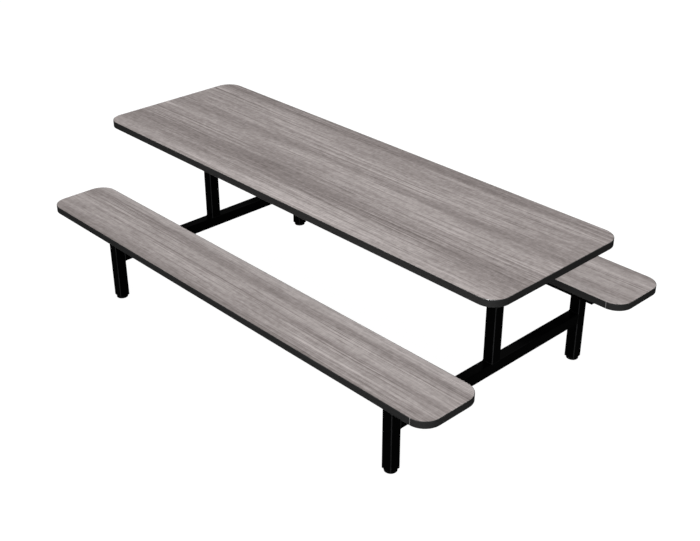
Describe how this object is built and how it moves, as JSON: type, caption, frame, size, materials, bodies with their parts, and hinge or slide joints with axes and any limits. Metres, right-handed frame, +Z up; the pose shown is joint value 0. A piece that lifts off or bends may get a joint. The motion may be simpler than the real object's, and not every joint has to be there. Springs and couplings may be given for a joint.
{
  "type": "cafeteria bench table",
  "caption": "Stationary cafeteria table with attached benches on welded end frames with levelling feet.",
  "frame": {"origin": "on the floor, under the middle of the tabletop", "axes": "+X along the table, +Y towards the left bench, +Z up"},
  "size_m": [2.4384, 1.4478, 0.779],
  "materials": {
    "laminate": "fine suede laminate with a grey wood print",
    "core": "board",
    "backer": "plain backer sheet",
    "edge_band": "satin vinyl",
    "band_joint": "filled joint",
    "frame_paint": "black powder coat",
    "plug_plastic": "moulded",
    "glide_plastic": "moulded",
    "zinc_steel": "zinc plated",
    "insert_brass": "plain"
  },
  "bodies": {
    "table": {"front_center_post": "frame_paint", "front_crossbar": "frame_paint", "front_left_bench_bearer": "frame_paint", "front_left_leg": "frame_paint", "front_left_leg_insert": "plug_plastic", "front_left_threaded_bush": "zinc_steel", "front_right_bench_bearer": "frame_paint", "front_right_leg": "frame_paint", "front_right_leg_insert": "plug_plastic", "front_right_threaded_bush": "zinc_steel", "front_tabletop_bearer": "frame_paint", "left_bench_backer": "backer", "left_bench_band_joint": "band_joint", "left_bench_core": "core", "left_bench_edge_band": "edge_band", "left_bench_inner_rail": "frame_paint", "left_bench_laminate": "laminate", "left_bench_outer_rail": "frame_paint", "left_bench_rail_plugs": "plug_plastic", "left_bench_screws": "zinc_steel", "left_bench_threaded_inserts": "insert_brass", "rear_center_post": "frame_paint", "rear_crossbar": "frame_paint", "rear_left_bench_bearer": "frame_paint", "rear_left_leg": "frame_paint", "rear_left_leg_insert": "plug_plastic", "rear_left_threaded_bush": "zinc_steel", "rear_right_bench_bearer": "frame_paint", "rear_right_leg": "frame_paint", "rear_right_leg_insert": "plug_plastic", "rear_right_threaded_bush": "zinc_steel", "rear_tabletop_bearer": "frame_paint", "right_bench_backer": "backer", "right_bench_band_joint": "band_joint", "right_bench_core": "core", "right_bench_edge_band": "edge_band", "right_bench_inner_rail": "frame_paint", "right_bench_laminate": "laminate", "right_bench_outer_rail": "frame_paint", "right_bench_rail_plugs": "plug_plastic", "right_bench_screws": "zinc_steel", "right_bench_threaded_inserts": "insert_brass", "tabletop_backer": "backer", "tabletop_core": "core", "tabletop_edge_band": "edge_band", "tabletop_laminate": "laminate", "tabletop_left_rail": "frame_paint", "tabletop_rail_plugs": "plug_plastic", "tabletop_right_rail": "frame_paint", "tabletop_screws": "zinc_steel", "tabletop_threaded_inserts": "insert_brass"},
    "front_left_glide": {"front_left_glide_disc": "glide_plastic"},
    "front_left_stud": {"front_left_levelling_stud": "zinc_steel"},
    "front_right_glide": {"front_right_glide_disc": "glide_plastic"},
    "front_right_stud": {"front_right_levelling_stud": "zinc_steel"},
    "rear_left_glide": {"rear_left_glide_disc": "glide_plastic"},
    "rear_left_stud": {"rear_left_levelling_stud": "zinc_steel"},
    "rear_right_glide": {"rear_right_glide_disc": "glide_plastic"},
    "rear_right_stud": {"rear_right_levelling_stud": "zinc_steel"}
  },
  "joints": [
    {"name": "front_left_glide_slide", "type": "slide", "parent": "table", "child": "front_left_glide", "axis": [0, 0, -1], "range_m": [0, 0.01905]},
    {"name": "front_left_stud_turn", "type": "hinge", "parent": "front_left_glide", "child": "front_left_stud", "pos_m": [0.9144, 0.5715, 0.03], "axis": [0, 0, -1], "range_deg": [0, 4320]},
    {"name": "front_right_glide_slide", "type": "slide", "parent": "table", "child": "front_right_glide", "axis": [0, 0, -1], "range_m": [0, 0.01905]},
    {"name": "front_right_stud_turn", "type": "hinge", "parent": "front_right_glide", "child": "front_right_stud", "pos_m": [0.9144, -0.5715, 0.03], "axis": [0, 0, -1], "range_deg": [0, 4320]},
    {"name": "rear_left_glide_slide", "type": "slide", "parent": "table", "child": "rear_left_glide", "axis": [0, 0, -1], "range_m": [0, 0.01905]},
    {"name": "rear_left_stud_turn", "type": "hinge", "parent": "rear_left_glide", "child": "rear_left_stud", "pos_m": [-0.9144, 0.5715, 0.03], "axis": [0, 0, -1], "range_deg": [0, 4320]},
    {"name": "rear_right_glide_slide", "type": "slide", "parent": "table", "child": "rear_right_glide", "axis": [0, 0, -1], "range_m": [0, 0.01905]},
    {"name": "rear_right_stud_turn", "type": "hinge", "parent": "rear_right_glide", "child": "rear_right_stud", "pos_m": [-0.9144, -0.5715, 0.03], "axis": [0, 0, -1], "range_deg": [0, 4320]}
  ],
  "couplings": [
    {"joint": "front_left_stud_turn", "follows": "front_left_glide_slide", "rad_per_m": 3957.8},
    {"joint": "front_right_stud_turn", "follows": "front_right_glide_slide", "rad_per_m": 3957.8},
    {"joint": "rear_left_stud_turn", "follows": "rear_left_glide_slide", "rad_per_m": 3957.8},
    {"joint": "rear_right_stud_turn", "follows": "rear_right_glide_slide", "rad_per_m": 3957.8}
  ]
}
